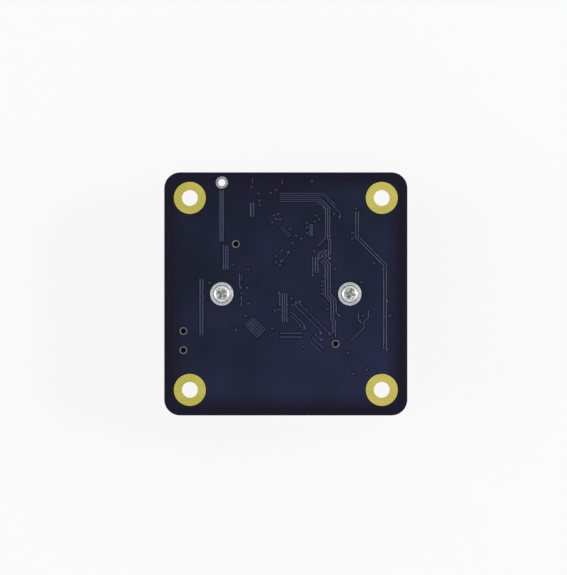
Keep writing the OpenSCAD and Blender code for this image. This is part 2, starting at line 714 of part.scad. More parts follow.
module sensor_package() {
    color([0.85, 0.84, 0.8]) on_front() difference() {
        translate([0, 0, land_t]) linear_extrude(sensor_h - land_t)
            rounded_rect([sensor_w, sensor_l], 0.3);
        translate([0, 0, sensor_h - tub_h]) linear_extrude(1)
            square([sensor_w - 2 * sensor_wall, sensor_l - 2 * sensor_wall], center = true);
        // castellated contacts along two sides
        for (x = [-1, 1], i = [-4 : 4]) translate([x * sensor_w / 2, i * 0.85, -eps])
            cylinder(h = sensor_h - 0.3, r = 0.16);
    }
}

module sensor_die() {
    inset = 2 * (sensor_wall + die_margin);
    size = [sensor_w - inset, sensor_l - inset];
    color([0.25, 0.35, 0.35]) on_front() translate([0, 0, sensor_h - tub_h]) {
        linear_extrude(die_t) square(size, center = true);
        linear_extrude(die_t + 0.02) square(size - [1, 2], center = true);
    }
}

module sensor_cover_glass() {
    color([0.8, 0.9, 0.9, 0.5]) on_front() translate([0, 0, sensor_h])
        linear_extrude(cover_glass_t) square([sensor_w - 0.5, sensor_l - 0.5], center = true);
}

// ------------------------------------------------------------ cable header
// Side-entry header: its mouth looks out over the board's left edge.

header_mouth_x = -board_w / 2 + 0.1;
header_back_x = header_mouth_x + header_l;
header_w = (header_ways - 1) * header_pitch + 4;
header_wall = 0.55;
header_floor_h = 0.55;
header_back_t = 1;
latch_l = 1.6;
key_l = 1.6;
tab_l = 1.3;
contact_t = 0.32;
tail_end_x = header_back_x + 1.2;
way_y = [for (i = [0 : header_ways - 1]) (i - (header_ways - 1) / 2) * header_pitch - header_drop];

module header_housing() {
    mid_x = (header_mouth_x + header_back_x) / 2;
    inner_h = header_h - header_wall - header_floor_h;
    color([0.07, 0.07, 0.08]) on_front() {
        difference() {
            translate([mid_x, -header_drop, land_t])
                chamfered_block([header_l, header_w, header_h - land_t], 0.25, 0.2);
            // socket for the plug
            translate([header_mouth_x - 1, -header_drop - header_w / 2 + header_wall, header_floor_h])
                cube([header_l - header_back_t + 1, header_w - 2 * header_wall, inner_h]);
            // latch windows in the upper wall, and a slot for the key
            for (y = [-1, 1]) translate([mid_x - 0.6, y * (header_w / 2 - 1.9) - header_drop, header_h])
                cube([latch_l, 1, 2], center = true);
            translate([header_mouth_x, -header_drop, header_h]) cube([key_l * 2, 1.2, 2], center = true);
            // holes for the contacts in the back wall
            for (y = way_y) translate([header_back_x - 2, y - contact_t / 2, header_h / 2 - contact_t / 2])
                cube([3, contact_t, contact_t]);
            // recesses for the solder tabs
            for (y = [-1, 1]) translate([mid_x - tab_l / 2 - 1.2, y * header_w / 2 - header_drop - 0.3, 0])
                cube([tab_l, 0.6, header_h - 1.2]);
        }
        for (s = header_peg_spots) translate([s[0], s[1], peg_short - board_t])
            cylinder(h = board_t - peg_short + land_t + 0.2, d = peg_d);
    }
}

// Bent pin: it runs out of the back wall and down to its land
module header_contacts() {
    mid_h = header_h / 2;
    t = contact_t;
    color([0.85, 0.78, 0.5]) on_front() for (y = way_y)
        translate([0, y + t / 2, 0]) rotate([90, 0, 0]) linear_extrude(t) polygon([
            [header_mouth_x + 1, mid_h - t / 2], [header_mouth_x + 0.8, mid_h],
            [header_mouth_x + 1, mid_h + t / 2],
            [header_back_x + 0.42, mid_h + t / 2], [header_back_x + 0.6, mid_h + 0.02],
            [header_back_x + 0.6, land_t + t], [tail_end_x, land_t + t], [tail_end_x, land_t],
            [header_back_x + 0.45, land_t], [header_back_x + 0.28, land_t + 0.17],
            [header_back_x + 0.28, mid_h - t / 2]
        ]);
}

// Metal tabs in the header's flanks, soldered to the board
module header_solder_tabs() {
    mid_x = (header_mouth_x + header_back_x) / 2;
    color([0.8, 0.8, 0.82]) on_front() for (side = [-1, 1])
        translate([mid_x - 1.2 - tab_l / 2, side * (header_w / 2 - 0.3) - header_drop, 0])
            rotate([90, 0, 90]) linear_extrude(tab_l) polygon([
                [0, land_t], [side * 1.1, land_t], [side * 1.1, land_t + 0.25], [side * 0.25, land_t + 0.25],
                [side * 0.25, header_h - 1.2], [0, header_h - 1.2]
            ]);
}

// ---------------------------------------------------- chips with gull wings

controller_spot = [1, band];
flash_spot = [-3.5, -band - 0.3];

// Gull-wing lead in the XZ plane, leaving the body at x = 0 towards +X
module gull_lead(width, thick, top, reach) {
    foot = reach * 0.55;
    translate([0, width / 2, 0]) rotate([90, 0, 0]) linear_extrude(width) polygon([
        [0, top], [0, top + thick], [reach - foot - thick / 2, top + thick],
        [reach - foot + thick * 0.7, land_t + thick],
        [reach, land_t + thick], [reach, land_t], [reach - foot, land_t], [reach - foot - thick * 1.2, top]
    ]);
}

// Body with tapered flanks above and below the lead plane, and a pin-1 dimple
module moulded_body(size, lead_top, dimple_r) {
    low = 0.15;
    draft = 0.12;
    corner_r = draft + 0.05;
    dimple = [dimple_r * 1.8 - size[0] / 2, size[1] / 2 - dimple_r * 1.8, size[2] - 0.06];
    translate([0, 0, lead_top]) mirror([0, 0, 1])
        chamfered_block([size[0], size[1], lead_top - low], corner_r, draft);
    difference() {
        translate([0, 0, lead_top]) chamfered_block([size[0], size[1], size[2] - lead_top], corner_r, draft);
        translate(dimple) cylinder(h = 1, r = dimple_r);
    }
}

// [body length, body width, body height, lead plane, leads a side, pitch, lead width, lead thickness, reach]
function soic8() = [4.9, 3.9, 1.55, 0.8, 4, 1.27, 0.42, 0.2, 1.05];
function sot23_5() = [2.9, 1.6, 1.1, 0.55, 3, 0.95, 0.4, 0.14, 0.6];

module two_sided_leads(c, missing = -1) {
    for (side = [0, 1], i = [0 : c[4] - 1]) if (!(side == 1 && i == missing))
        rotate(180 * side) translate([(i - (c[4] - 1) / 2) * c[5], c[1] / 2, 0])
            rotate(90) gull_lead(c[6], c[7], c[3], c[8]);
}

controller_h = 1.5;
controller_lead_top = 0.75;
controller_reach = 1;

module controller_body() {
    color([0.11, 0.11, 0.12]) on_front(controller_spot)
        moulded_body([controller_w, controller_w, controller_h], controller_lead_top, 0.4);
}

module controller_lead_rows() {
    n = controller_leads_a_side;
    for (side = [0 : 3], i = [0 : n - 1]) rotate(90 * side)
        translate([controller_w / 2, (i - (n - 1) / 2) * controller_lead_pitch, 0]) children();
}

module controller_leads() {
    color([0.78, 0.78, 0.8]) on_front(controller_spot)
        controller_lead_rows() gull_lead(0.22, 0.13, controller_lead_top, controller_reach);
}

module flash_body() {
    color([0.11, 0.11, 0.12]) on_front(flash_spot)
        moulded_body([soic8()[0], soic8()[1], soic8()[2]], soic8()[3], 0.3);
}

module flash_leads() {
    color([0.78, 0.78, 0.8]) on_front(flash_spot) two_sided_leads(soic8());
}

// Three supply regulators and the data-line protector, [spot, turn]
small_chips = [
    [spread * [9, 12], 90], [spread * [9, 16.2], 90], [[band, spread * 8.6], 0], [spread * [-9.8, -12.6], 0]
];

module small_chip_bodies() {
    color([0.12, 0.12, 0.13]) for (c = small_chips) on_front(c[0], c[1])
        moulded_body([sot23_5()[0], sot23_5()[1], sot23_5()[2]], sot23_5()[3], 0.14);
}

module small_chip_leads() {
    color([0.78, 0.78, 0.8]) for (c = small_chips) on_front(c[0], c[1])
        two_sided_leads(sot23_5(), 1);
}

// --------------------------------------------------- crystal and large parts

crystal_spot = spread * [-6.6, 12.4];
crystal_size = [3.2, 2.5];

module crystal_base() {
    color([0.7, 0.66, 0.58]) on_front(crystal_spot) translate([0, 0, land_t])
        linear_extrude(0.45) rounded_rect(crystal_size, 0.15);
}

module crystal_lid() {
    color([0.8, 0.8, 0.78]) on_front(crystal_spot) translate([0, 0, land_t + 0.45])
        chamfered_block([crystal_size[0] - 0.3, crystal_size[1] - 0.3, 0.3], 0.25, 0.08);
}

inductor_spot = [band + 1.3, -3.7 * spread];
inductor_size = [4, 4, 1.9];
inductor_foot = 1.1;

// Shielded power inductor: a ferrite block with notched corners and its foot plates
module inductor_body() {
    s = inductor_size;
    color([0.22, 0.22, 0.23]) on_front(inductor_spot) translate([0, 0, land_t + 0.15]) difference() {
        chamfered_block([s[0], s[1], s[2] - land_t - 0.15], 0.5, 0.15);
        translate([0, 0, s[2] - land_t - 0.15 - 0.12]) tube(1.65, 1.5, 0, 1);
    }
}

module inductor_ends() {
    s = inductor_size;
    color([0.8, 0.8, 0.8]) on_front(inductor_spot) for (x = [-1, 1])
        translate([x * (s[0] - inductor_foot) / 2, 0, land_t]) linear_extrude(0.15)
            square([inductor_foot, s[1] - 1.2], center = true);
}

tantalum_spot = [band + 1.3, 3.4 * spread];
tantalum_size = [3.5, 2.8, 1.9];

module tantalum_body() {
    s = tantalum_size;
    color([0.85, 0.62, 0.2]) on_front(tantalum_spot, 90) translate([0, 0, land_t + 0.2])
        chamfered_block([s[0] - 0.3, s[1], s[2] - land_t - 0.2], 0.15, 0.12);
}

// Flat terminals that wrap under and up both ends
module tantalum_ends() {
    s = tantalum_size;
    t = 0.15;
    color([0.8, 0.8, 0.8]) on_front(tantalum_spot, 90) for (side = [0, 1]) rotate(180 * side)
        translate([s[0] / 2, 1.1, land_t]) rotate([90, 0, 0]) linear_extrude(2.2) polygon([
            [0, 0], [0, 1.1], [-t, 1.1], [-t, 0.2], [-0.8, 0.2], [-0.8, 0]
        ]);
}

choke_spot = spread * [-12.95, 4.4];
choke_size = [1.2, 2, 1.1];

// Common-mode choke in the two data lines, between the cable header and the controller
module choke_body() {
    s = choke_size;
    color([0.2, 0.2, 0.22]) on_front(choke_spot) translate([0, 0, land_t])
        linear_extrude(s[2]) rounded_rect([s[0] - 0.1, s[1]], 0.1);
}

module choke_ends() {
    s = choke_size;
    color([0.8, 0.8, 0.82]) on_front(choke_spot) for (x = [-1, 1], y = [-1, 1])
        translate([x * (s[0] / 2 - 0.025), y * 0.6, land_t]) linear_extrude(s[2] * 0.8)
            square([0.05, 0.5], center = true);
}

// -------------------------------------------------------- chip passives
// Each entry is [x, y, turn]; a small one is 1.0 x 0.5, a large one 1.6 x 0.8.

small_caps = [
    [6.6, 10.6, 90], [6.6, 12.4, 90], [6.6, 14.4, 90], [6.6, 16.6, 90],
    [-4.4, 17, 90], [-4.4, 15.1, 90], [-6.6, 15.2, 0], [-6.6, 10.6, 0],
    [11.6, 10.4, 90], [17.2, 5.8, 90], [-7.6, -14.2, 90], [-0.4, -10.8, 0], [10.9, 6.4, 0]
];
large_caps = [
    [11.6, 14.8, 90], [10.9, 8.2, 90], [17.4, 1.2, 90], [11.4, 4.6, 0], [13.8, -8.2, 90],
    [0.7, -13.8, 90], [-12.2, -11.6, 90]
];
resistors = [
    [3, -11, 0], [3, -12.2, 0], [3, -13.4, 0], [3, -14.6, 0], [3, -15.8, 0],
    [5.4, -11, 0], [5.4, -12.2, 0], [5.4, -13.4, 0], [5.4, -14.6, 0],
    [8.2, -11.6, 90], [9.4, -11.6, 90], [8.2, -14.4, 90], [9.4, -14.4, 90],
    [-9.8, -9.6, 0], [-12.8, 8.6, 90], [-14, 8.6, 90], [15.8, -8, 0], [15.8, -9.2, 0]
];
small_size = [1, 0.5, 0.5];
large_size = [1.6, 0.8, 0.8];
resistor_size = [1, 0.5, 0.37];

module at_parts(list) {
    for (p = list) on_front(spread * [p[0], p[1]], p[2]) children();
}

// An end cap's share of a chip's length, and how far it stands proud of the ceramic
cap_share = 0.2;
cap_skin = 0.02;

// Ceramic block between its two end caps
module chip_block(size) {
    translate([0, 0, land_t + cap_skin]) linear_extrude(size[2] - 2 * cap_skin)
        square([size[0] * (1 - 2 * cap_share), size[1] - 2 * cap_skin], center = true);
}

module chip_caps(size) {
    end = size[0] * cap_share;
    for (side = [0, 180]) rotate(side) translate([(size[0] - end) / 2, 0, land_t])
        linear_extrude(size[2]) square([end, size[1]], center = true);
}

module capacitor_bodies() {
    color([0.62, 0.5, 0.36]) {
        at_parts(small_caps) chip_block(small_size);
        at_parts(large_caps) chip_block(large_size);
    }
}

module resistor_bodies() {
    color([0.1, 0.1, 0.11]) at_parts(resistors) chip_block(resistor_size);
}

module chip_end_caps() {
    color([0.78, 0.78, 0.79]) {
        at_parts(small_caps) chip_caps(small_size);
        at_parts(large_caps) chip_caps(large_size);
        at_parts(resistors) chip_caps(resistor_size);
    }
}

// ------------------------------------------------------------ solder lands

// Upper row of the test pads, just under the mounting hole's ring
test_pad_y = (mount_pitch - mount_pad_d) / 2 - 1.1;

module pair_of_lands(size, grow) {
    for (side = [-1, 1]) translate([side * size[0] * 0.46, 0])
        square([size[0] * 0.42 + 2 * grow, size[1] + 0.1 + 2 * grow], center = true);
}

module gull_lands(c, grow) {
    for (side = [0, 1], i = [0 : c[4] - 1])
        rotate(180 * side) translate([(i - (c[4] - 1) / 2) * c[5], c[1] / 2 + c[8] * 0.8])
            square([c[6] + 0.1 + 2 * grow, c[8] * 0.75 + 2 * grow], center = true);
}

module flat_at(spot, turn = 0) {
    translate(spot) rotate(turn) children();
}

// Outlines of every solder land, each grown by the same margin
module land_shapes(grow) {
    for (p = concat(small_caps, resistors))
        flat_at(spread * [p[0], p[1]], p[2]) pair_of_lands(small_size, grow);
    for (p = large_caps) flat_at(spread * [p[0], p[1]], p[2]) pair_of_lands(large_size, grow);
    flat_at(controller_spot) controller_lead_rows() translate([controller_reach * 0.8, 0])
        square([controller_reach * 0.75 + 2 * grow, 0.28 + 2 * grow], center = true);
    flat_at(flash_spot) gull_lands(soic8(), grow);
    for (c = small_chips) flat_at(c[0], c[1]) gull_lands(sot23_5(), grow);
    flat_at(inductor_spot) for (x = [-1, 1]) translate([x * 1.55, 0])
        square([1.3 + 2 * grow, inductor_size[1] - 0.9 + 2 * grow], center = true);
    flat_at(tantalum_spot, 90) for (x = [-1, 1]) translate([x * 1.4, 0])
        square([1.2 + 2 * grow, 2.4 + 2 * grow], center = true);
    flat_at(crystal_spot) for (x = [-1, 1], y = [-1, 1]) translate([x * 1.15, y * 0.85])
        square([1.1 + 2 * grow, 0.9 + 2 * grow], center = true);
    flat_at(choke_spot) for (x = [-1, 1], y = [-1, 1]) translate([x * 0.6, y * 0.6])
        square([0.6 + 2 * grow, 0.6 + 2 * grow], center = true);
    for (y = way_y) flat_at([tail_end_x - 0.35, y]) square([1.1 + 2 * grow, 0.6 + 2 * grow], center = true);
    for (side = [-1, 1])
        flat_at([(header_mouth_x + header_back_x) / 2 - 1.2, side * (header_w / 2 + 0.3) - header_drop])
            square([tab_l + 0.3 + 2 * grow, 1.1 + 2 * grow], center = true);
    for (x = [-1, 1], i = [-4 : 4]) flat_at([x * sensor_w / 2, i * 0.85])
        square([0.7 + 2 * grow, 0.5 + 2 * grow], center = true);
    for (i = [0 : 4]) translate([spread * (1.6 * i - 17), test_pad_y - 0.5 * (i % 2)]) circle(0.45 + grow);
}

// Ground under the bodies that sit low on the board is kept free of copper
module bodies_footprint(grow) {
    flat_at([(header_mouth_x + header_back_x) / 2, -header_drop])
        square([header_l + 2 * grow, header_w + 2 * grow], center = true);
    flat_at(crystal_spot) square([crystal_size[0] + 2 * grow, crystal_size[1] + 2 * grow], center = true);
    flat_at(choke_spot) square([choke_size[0] + 2 * grow, choke_size[1] + 2 * grow], center = true);
}

module solder_lands() {
    color([0.75, 0.75, 0.77]) on_front() linear_extrude(land_t) land_shapes(0);
}

// --------------------------------------------------------------- the nodes

circuit_board();
mounting_hole_plating();
ground_hole_plating();
back_copper();
front_copper();
solder_lands();
lens_holder();
holder_screws();
lens_barrel();
lens_lock_ring();
front_retaining_ring();
front_lens();
second_lens();
front_spacer();
stop_spacer();
third_lens();
rear_lens();
rear_retaining_ring();
ir_cut_filter();
sensor_package();
sensor_die();
sensor_cover_glass();
header_housing();
header_contacts();
header_solder_tabs();
controller_body();
controller_leads();
flash_body();
flash_leads();
small_chip_bodies();
small_chip_leads();
crystal_base();
crystal_lid();
inductor_body();
inductor_ends();
tantalum_body();
tantalum_ends();
choke_body();
choke_ends();
capacitor_bodies();
resistor_bodies();
chip_end_caps();
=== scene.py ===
"""Finishes, solder and studio for the board camera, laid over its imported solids."""
import math

import bmesh
import bpy
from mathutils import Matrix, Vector


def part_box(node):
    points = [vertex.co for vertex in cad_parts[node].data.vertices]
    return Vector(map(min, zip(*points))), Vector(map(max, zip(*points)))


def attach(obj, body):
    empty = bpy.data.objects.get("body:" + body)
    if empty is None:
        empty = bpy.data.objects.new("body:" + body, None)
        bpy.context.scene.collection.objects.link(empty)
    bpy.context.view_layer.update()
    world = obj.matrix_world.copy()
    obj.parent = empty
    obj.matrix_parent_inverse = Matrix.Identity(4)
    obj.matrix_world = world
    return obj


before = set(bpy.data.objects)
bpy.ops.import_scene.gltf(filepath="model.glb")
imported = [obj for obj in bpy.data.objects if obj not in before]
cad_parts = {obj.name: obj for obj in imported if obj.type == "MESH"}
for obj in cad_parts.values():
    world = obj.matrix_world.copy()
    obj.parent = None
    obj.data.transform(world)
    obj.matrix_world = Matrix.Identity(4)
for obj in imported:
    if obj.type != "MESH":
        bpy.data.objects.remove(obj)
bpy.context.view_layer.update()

# ---- Circuit board
# A square of glass-epoxy laminate, routed from a panel and drilled. Both faces carry a
# dark semi-gloss solder mask, which stops short of the unplated peg holes.

MM = 0.001
LAMINATE_PALE = (150, 140, 108)
LAMINATE_DARK = (100, 90, 64)


def paint(red, green, blue):
    """A colour given the way a paint chart gives it, as linear light with full alpha."""
    def to_linear(level):
        level /= 255
        return level / 12.92 if level <= 0.04045 else ((level + 0.055) / 1.055) ** 2.4
    return (to_linear(red), to_linear(green), to_linear(blue), 1.0)


class Wire:
    """An output in a finish's node tree. Arithmetic on wires and numbers adds Math nodes."""

    def __init__(self, finish, socket):
        self.finish = finish
        self.socket = socket

    def calculate(self, operation, *values):
        return self.finish.node("ShaderNodeMath", {"operation": operation}, dict(enumerate(values)))

    def __add__(self, other):
        return self.calculate("ADD", self, other)

    __radd__ = __add__

    def __sub__(self, other):
        return self.calculate("SUBTRACT", self, other)

    def __rsub__(self, other):
        return self.calculate("SUBTRACT", other, self)

    def __mul__(self, other):
        return self.calculate("MULTIPLY", self, other)

    __rmul__ = __mul__

    def __truediv__(self, other):
        return self.calculate("DIVIDE", self, other)

    def __abs__(self):
        return self.calculate("ABSOLUTE", self)

    def capped(self, ceiling):
        return self.calculate("MINIMUM", self, ceiling)

    def floored(self, bottom):
        return self.calculate("MAXIMUM", self, bottom)


class Finish:
    """A material built from nodes, measured in millimetres on the piece that wears it."""

    def __init__(self, name, **constants):
        self.material = bpy.data.materials.new(name)
        self.material.use_nodes = True
        self.tree = self.material.node_tree
        self.shader = self.tree.nodes["Principled BSDF"]
        for socket, value in constants.items():
            self.shader.inputs[socket.replace("_", " ")].default_value = value

    def node(self, kind, settings=None, inputs=None, output=0):
        """Adds a node: its settings first, then a value or a wire for each input socket."""
        made = self.tree.nodes.new(kind)
        for name, value in (settings or {}).items():
            if name == "stops":
                self.lay_stops(made.color_ramp, value)
            else:
                setattr(made, name, value)
        for socket, value in (inputs or {}).items():
            if isinstance(value, Wire):
                self.tree.links.new(value.socket, made.inputs[socket])
            else:
                made.inputs[socket].default_value = value
        return Wire(self, made.outputs[output])

    def lay_stops(self, ramp, stops):
        while len(ramp.elements) < len(stops):
            ramp.elements.new(0.5)
        for element, (place, colour) in zip(ramp.elements, stops):
            element.position = place
            element.color = colour

    def wear(self, **wires):
        """Feeds wires to the shader's varying sockets."""
        for socket, value in wires.items():
            self.tree.links.new(value.socket, self.shader.inputs[socket.replace("_", " ")])
        return self

    def place(self):
        """Where a point lies on the piece, in millimetres."""
        spot = self.node("ShaderNodeTexCoord", output="Object")
        return self.node("ShaderNodeVectorMath", {"operation": "SCALE"}, {0: spot, "Scale": 1000})

    def axis(self, name):
        return self.node("ShaderNodeSeparateXYZ", inputs={0: self.place()}, output=name)

    def stretched(self, x, y, z):
        """The place with each direction scaled, so that grain runs long where a factor is small."""
        return self.node("ShaderNodeVectorMath", {"operation": "MULTIPLY"}, {0: self.place(), 1: (x, y, z)})

    def grain(self, size, detail=3, place=None):
        """Soft noise from 0 to 1, whose blots are about size millimetres across."""
        return self.node("ShaderNodeTexNoise", {}, {
            "Vector": place or self.place(), "Scale": 1 / size, "Detail": detail})

    def ramp(self, factor, *stops):
        return self.node("ShaderNodeValToRGB", {"stops": stops}, {0: factor})

    def between(self, factor, low, high):
        """The factor spread from low to high, as a plain number."""
        return self.node("ShaderNodeMapRange", {}, {"Value": factor, "To Min": low, "To Max": high})

    def blend(self, factor, first, second):
        return self.node("ShaderNodeMix", {"data_type": "RGBA"}, {0: factor, 6: first, 7: second}, output=2)

    def relief(self, height, depth):
        """A surface pushed in and out by depth millimetres."""
        return self.node("ShaderNodeBump", {}, {"Height": height, "Distance": depth * MM, "Strength": 1.0})


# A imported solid's faces come loose: corners closer than this many millimetres are one.
SAME_CORNER = 0.0005
# An edge where two faces turn by more than this many degrees is sharp.
SHARP_TURN = 28


def join_faces(name):
    """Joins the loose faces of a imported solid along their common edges."""
    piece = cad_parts[name]
    packed_normals = piece.data.attributes.get("custom_normal")
    if packed_normals:
        piece.data.attributes.remove(packed_normals)
    piece.modifiers.new("join", "WELD").merge_threshold = SAME_CORNER * MM
    return piece


def soften(name, width, segments=2):
    """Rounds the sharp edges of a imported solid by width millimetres, as tumbling or moulding does."""
    piece = join_faces(name)
    piece.data.shade_smooth()
    bevel = piece.modifiers.new("edges", "BEVEL")
    bevel.width = width * MM
    bevel.segments = segments
    bevel.limit_method = "ANGLE"
    bevel.angle_limit = math.radians(SHARP_TURN)
    bevel.harden_normals = True
    return piece


def dress(piece, *finishes):
    """Gives a piece its finishes, in the order of its slots."""
    while piece.data.materials:
        piece.data.materials.pop()
    for finish in finishes:
        piece.data.materials.append(finish.material)
    return piece


def sort_faces(piece, choose):
    """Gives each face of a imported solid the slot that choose(middle in mm, normal) returns."""
    for face in piece.data.polygons:
        face.material_index = choose(face.center / MM, face.normal)


MASK_OVER_LAMINATE = [(13, 17, 30), (14, 18, 33), (16, 20, 37), (20, 22, 42)]
MASK_STOPS = (0.25, 0.42, 0.58, 0.78)
MASK_TINTS = [(16, 34, 44), (32, 22, 52)]
TINT_STOPS = (0.38, 0.62)
TINT_SHARE = 0.22
# How fast the tone lightens towards the lower right corner, for each millimetre.
MASK_LEAN = 0.009
MASK_SHEEN = (208, 214, 255)
MASK_EDGE = (21, 17, 31)
# Breadth in millimetres of the dark band along the edges, and its steepness: at 1 it fades over its
# whole breadth, and at 1.5 its outer third is full.
BAND = 3.4
BAND_STEEPNESS = 1.5


def stops(places, tones):
    """The stops of a ramp: the paint that stands at each place."""
    return [(place, paint(*tone)) for place, tone in zip(places, tones)]


def mask_finish(name, tones, depth, gloss=0.2, rough=(0.3, 0.42)):
    """Semi-gloss solder mask, with the faint orange peel and colour drift of a cured coat,
    and a soft darker band along the board's edges."""
    mask = Finish(name, Specular_IOR_Level=gloss, Specular_Tint=paint(*MASK_SHEEN))
    across = mask.axis("X")
    along = mask.axis("Y")
    drift = mask.grain(7, 3)
    fine = mask.grain(1.3, 4)
    lean = (across - along) * MASK_LEAN
    tone = mask.ramp(drift * 0.9 + fine * 0.1 + lean, *stops(MASK_STOPS, tones))
    tint = mask.ramp(mask.grain(3.6, 3), *stops(TINT_STOPS, MASK_TINTS))
    body = mask.blend(TINT_SHARE, tone, tint)
    inset = half_board - abs(across).floored(abs(along))
    edge = (1 - inset / BAND).floored(0) * BAND_STEEPNESS
    shade = mask.blend(edge.capped(1), body, paint(*MASK_EDGE))
    peel = mask.relief(mask.grain(0.35, 3), depth)
    return mask.wear(Base_Color=shade, Roughness=mask.between(fine, *rough), Normal=peel)


half_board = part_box("circuit_board")[1].x / MM
bare_mask = mask_finish("mask_over_laminate", MASK_OVER_LAMINATE, 0.004)

laminate = Finish("glass_epoxy_laminate")
layers = laminate.grain(0.12, 2, laminate.stretched(0.15, 0.15, 1))
routing = laminate.grain(0.1, 3, laminate.stretched(1, 1, 0.1))
laminate.wear(
    Base_Color=laminate.ramp(
        layers * 0.7 + routing * 0.3, (0.35, paint(*LAMINATE_DARK)), (0.62, paint(*LAMINATE_PALE))),
    Roughness=laminate.between(routing, 0.55, 0.8),
    Normal=laminate.relief(routing + layers, 0.012))

# Round the peg holes the scraped laminate shows as a pale lilac-grey ring.
scraped = Finish("scraped_laminate")
haze = scraped.grain(0.3, 3)
scraped.wear(
    Base_Color=scraped.ramp(haze, (0.3, paint(76, 76, 92)), (0.7, paint(102, 101, 117))),
    Roughness=scraped.between(haze, 0.5, 0.7),
    Normal=scraped.relief(haze, 0.01))

board = soften("circuit_board", 0.04)
back_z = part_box("circuit_board")[1].z / MM
front_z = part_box("circuit_board")[0].z / MM
MASK_T = 0.03
# A face lies flat when its unit normal's z is past this.
LEVEL = 0.9


def board_slot(middle, normal):
    """Mask on the two faces, scraped laminate where the mask stops, and laminate on every edge."""
    if abs(normal.z) < LEVEL:
        return 1
    depth = min(abs(middle.z - back_z), abs(middle.z - front_z))
    return 0 if depth < 0.5 * MASK_T else 2


dress(board, bare_mask, laminate, scraped)
sort_faces(board, board_slot)

# ---- Hole plating
# Copper grown through the five plated holes and over a ring on each face. The mounting
# holes are finished in matte immersion gold, and the small ground hole is tinned.

GOLD_LIGHT = (206, 193, 98)
GOLD_DEEP = (190, 184, 82)
TIN_LIGHT = (214, 214, 216)
TIN_DARK = (160, 161, 166)


def plated_finish(name, light, deep, roughness, blot, metal=1.0, lean=0.0):
    """Metal plating: a slow drift of tone under a fine grain. It may lighten from left to right."""
    plated = Finish(name, Metallic=metal)
    tone = plated.grain(blot, 3) + plated.axis("X") * lean
    grit = plated.grain(0.09, 2)
    return plated.wear(
        Base_Color=plated.ramp(tone * 0.75 + grit * 0.25, (0.35, paint(*deep)), (0.65, paint(*light))),
        Roughness=plated.between(grit, *roughness),
        Normal=plated.relief(grit, 0.006))


gold = plated_finish("immersion_gold", GOLD_LIGHT, GOLD_DEEP, (0.5, 0.66), 2.4, metal=0.75, lean=0.008)
tin = plated_finish("tinned_copper", TIN_LIGHT, TIN_DARK, (0.22, 0.42), 0.5)
dress(soften("mounting_hole_plating", 0.015), gold)
dress(soften("ground_hole_plating", 0.015), tin)

# ---- Masked copper
# Etched copper on both faces under the same solder mask: a ground area, and tracks and
# vias that stand in moats. Over copper the mask looks bluer than over bare laminate.

MASK_OVER_COPPER = [(18, 22, 36), (22, 28, 44), (27, 32, 52), (33, 36, 62)]
MASK_OVER_TRACKS = [(18, 23, 42), (21, 27, 48), (26, 31, 56), (31, 35, 66)]
# Over the vias the mask is painted darker: painted shade of the dimple it sinks into over each via hole.
VIA_MASK_PAINTED_SHADE = [(13, 16, 28), (15, 19, 33), (18, 22, 38), (22, 25, 45)]
# A face stands on edge when its unit normal's z is below this.
STEEP = 0.5
# By its top in square millimetres, a solid is a via below the first area and ground above the second.
VIA_AREA = 0.25
WIDEST_TRACK_AREA = 30
# How many degrees the mask slopes over an edge, and how many on a track of this breadth or more.
SLOPE = 45
BROAD_SLOPE = 15
BROAD = 0.35

copper_mask = mask_finish("mask_over_ground", MASK_OVER_COPPER, 0.005)
track_mask = mask_finish("mask_over_tracks", MASK_OVER_TRACKS, 0.001, gloss=0.84, rough=(0.36, 0.44))
via_mask_with_painted_shade = mask_finish("mask_over_vias_painted_shade", VIA_MASK_PAINTED_SHADE, 0.002, gloss=0.55, rough=(0.32, 0.4))


def solids_of(piece):
    """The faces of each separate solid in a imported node: faces that share a corner are one solid."""
    mesh = piece.data
    corners = {}
    parent = []
    owner = []

    def root_of(i):
        while parent[i] != i:
            parent[i] = parent[parent[i]]
            i = parent[i]
        return i

    for vertex in mesh.vertices:
        place = tuple(vertex.co)
        if place not in corners:
            corners[place] = len(parent)
            parent.append(len(parent))
        owner.append(corners[place])
    for face in mesh.polygons:
        for vertex in face.vertices[1:]:
            parent[root_of(owner[vertex])] = root_of(owner[face.vertices[0]])
    solids = {}
    for face in mesh.polygons:
        solids.setdefault(root_of(owner[face.vertices[0]]), []).append(face)
    return list(solids.values())


def extent_of(faces, thickness):
    """A solid's top area in square millimetres and its mean breadth, from its top and sides."""
    top = sum(face.area for face in faces if abs(face.normal.z) > LEVEL) / 2 / MM ** 2
    length = sum(face.area for face in faces if abs(face.normal.z) < STEEP) / MM ** 2 / thickness / 2
    return top, top / length


def drape(name):
    """Mask runs over an etched edge in a slope: each track and via is shaded as a low ridge,
    and the ground stays flat."""
    piece = dress(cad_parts[name], copper_mask, track_mask, via_mask_with_painted_shade)
    mesh = piece.data
    thickness = (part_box(name)[1].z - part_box(name)[0].z) / MM
    outward = {}
    for face in mesh.polygons:
        if abs(face.normal.z) < STEEP:
            for corner in face.vertices:
                place = tuple(mesh.vertices[corner].co)
                outward[place] = outward.get(place, Vector()) + face.normal * (face.area / MM ** 2) ** 2
    normals = [Vector()] * len(mesh.loops)
    for faces in solids_of(piece):
        size, breadth = extent_of(faces, thickness)
        ground = size > WIDEST_TRACK_AREA
        via = size < VIA_AREA
        lean = math.radians(0 if ground else SLOPE if breadth < BROAD else BROAD_SLOPE)
        for face in faces:
            face.material_index = 0 if ground else 2 if via else 1
            for loop in face.loop_indices:
                place = tuple(mesh.vertices[mesh.loops[loop].vertex_index].co)
                pull = outward.get(place, Vector())
                sloped = abs(face.normal.z) > LEVEL and pull.length > 0
                normals[loop] = (face.normal * math.cos(lean) + pull.normalized() * math.sin(lean)
                                 if sloped else face.normal.copy())
    mesh.normals_split_custom_set(normals)


for name in ("back_copper", "front_copper"):
    drape(name)

# ---- Solder lands
# Bare copper lands for the soldered parts, open in the mask and coated with solder.

